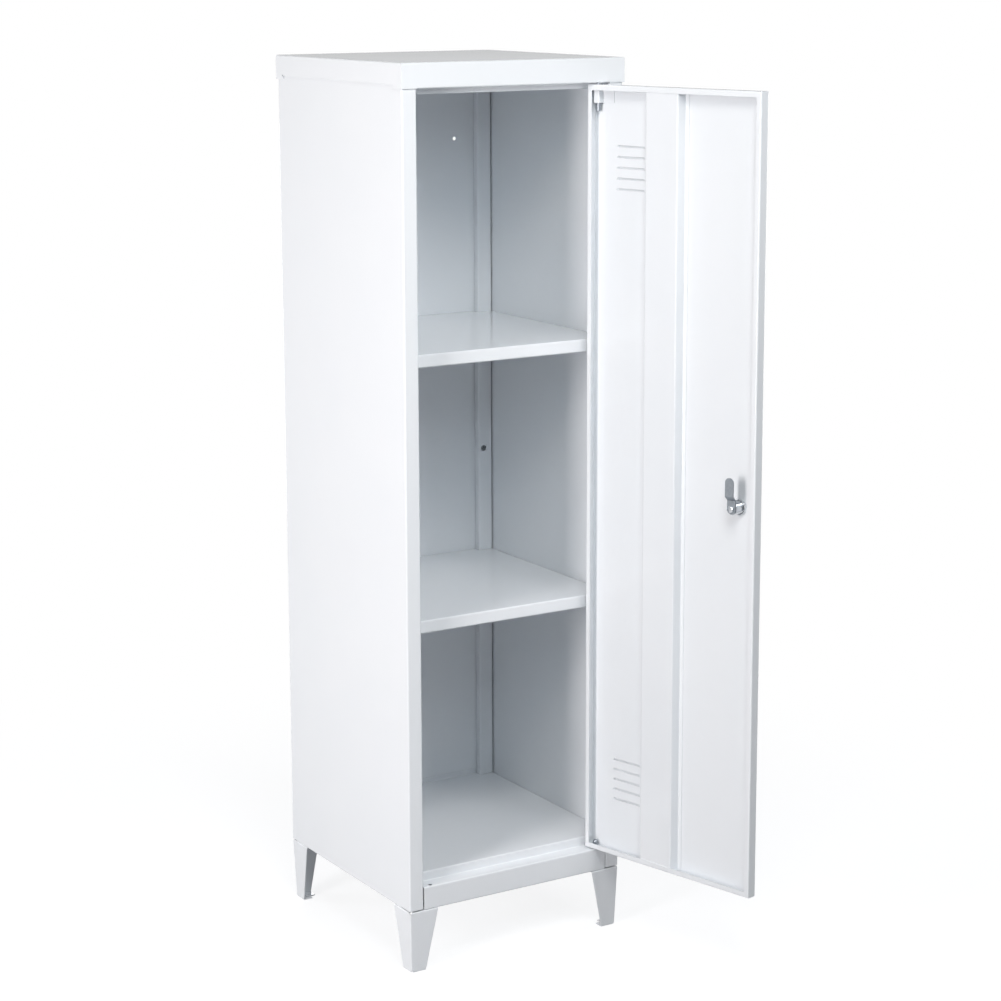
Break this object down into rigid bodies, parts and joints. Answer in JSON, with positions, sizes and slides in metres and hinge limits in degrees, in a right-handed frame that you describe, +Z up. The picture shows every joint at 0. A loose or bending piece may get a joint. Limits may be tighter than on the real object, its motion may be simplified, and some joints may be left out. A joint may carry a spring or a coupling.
{
  "type": "clothing locker",
  "caption": "Tall narrow sheet-steel clothing locker on folded legs, with shelves inside and an inset swing door with louvres, pivot pins and a cam lock.",
  "frame": {"origin": "on the floor, under the middle of the front left foot", "axes": "X to the right across the front, Y from the front into the depth, Z up"},
  "size_m": [0.4262, 0.6915, 1.37],
  "materials": {
    "powder_coat_white": "satin powder coat with a very fine orange peel",
    "zinc_plated_steel": "bright zinc plating",
    "chromed_zinc": "polished chrome on a zinc die casting",
    "nylon_natural": "natural moulded nylon"
  },
  "bodies": {
    "cabinet": {"top_cap": "powder_coat_white", "left_side_panel": "powder_coat_white", "right_side_panel": "powder_coat_white", "back_panel": "powder_coat_white", "bottom_panel": "powder_coat_white", "upper_shelf": "powder_coat_white", "lower_shelf": "powder_coat_white", "shelf_brackets": "powder_coat_white", "front_left_leg": "powder_coat_white", "front_right_leg": "powder_coat_white", "rear_left_leg": "powder_coat_white", "rear_right_leg": "powder_coat_white", "leg_bolts": "zinc_plated_steel", "leg_nuts": "zinc_plated_steel", "cap_studs": "zinc_plated_steel", "cap_nuts": "zinc_plated_steel", "back_screws": "zinc_plated_steel", "back_nuts": "zinc_plated_steel"},
    "door": {"door_panel": "powder_coat_white", "door_stiffener": "powder_coat_white", "upper_hinge_bracket": "powder_coat_white", "lower_hinge_pin": "zinc_plated_steel", "hinge_washer": "nylon_natural", "hinge_spring": "zinc_plated_steel", "lock_body": "chromed_zinc", "lock_nut": "zinc_plated_steel"},
    "hinge_pin": {"upper_hinge_pin": "zinc_plated_steel"},
    "lock": {"lock_plug": "chromed_zinc", "lock_cam": "zinc_plated_steel", "cam_screw": "zinc_plated_steel"}
  },
  "joints": [
    {"name": "door_hinge", "type": "hinge", "parent": "cabinet", "child": "door", "pos_m": [0.319, -0.0055, 0.136], "axis": [0, 0, 1], "range_deg": [-104.3, 15.7]},
    {"name": "pin_release", "type": "slide", "parent": "door", "child": "hinge_pin", "axis": [0, 0, 1], "range_m": [-0.0095, 0], "stiffness_N_per_m": 600, "springref_m": 0.004, "deforming": ["hinge_spring"]},
    {"name": "lock_turn", "type": "hinge", "parent": "door", "child": "lock", "pos_m": [0.39299, -0.27147, 0.726], "axis": [0.969, 0.247, 0], "range_deg": [0, 90]}
  ]
}
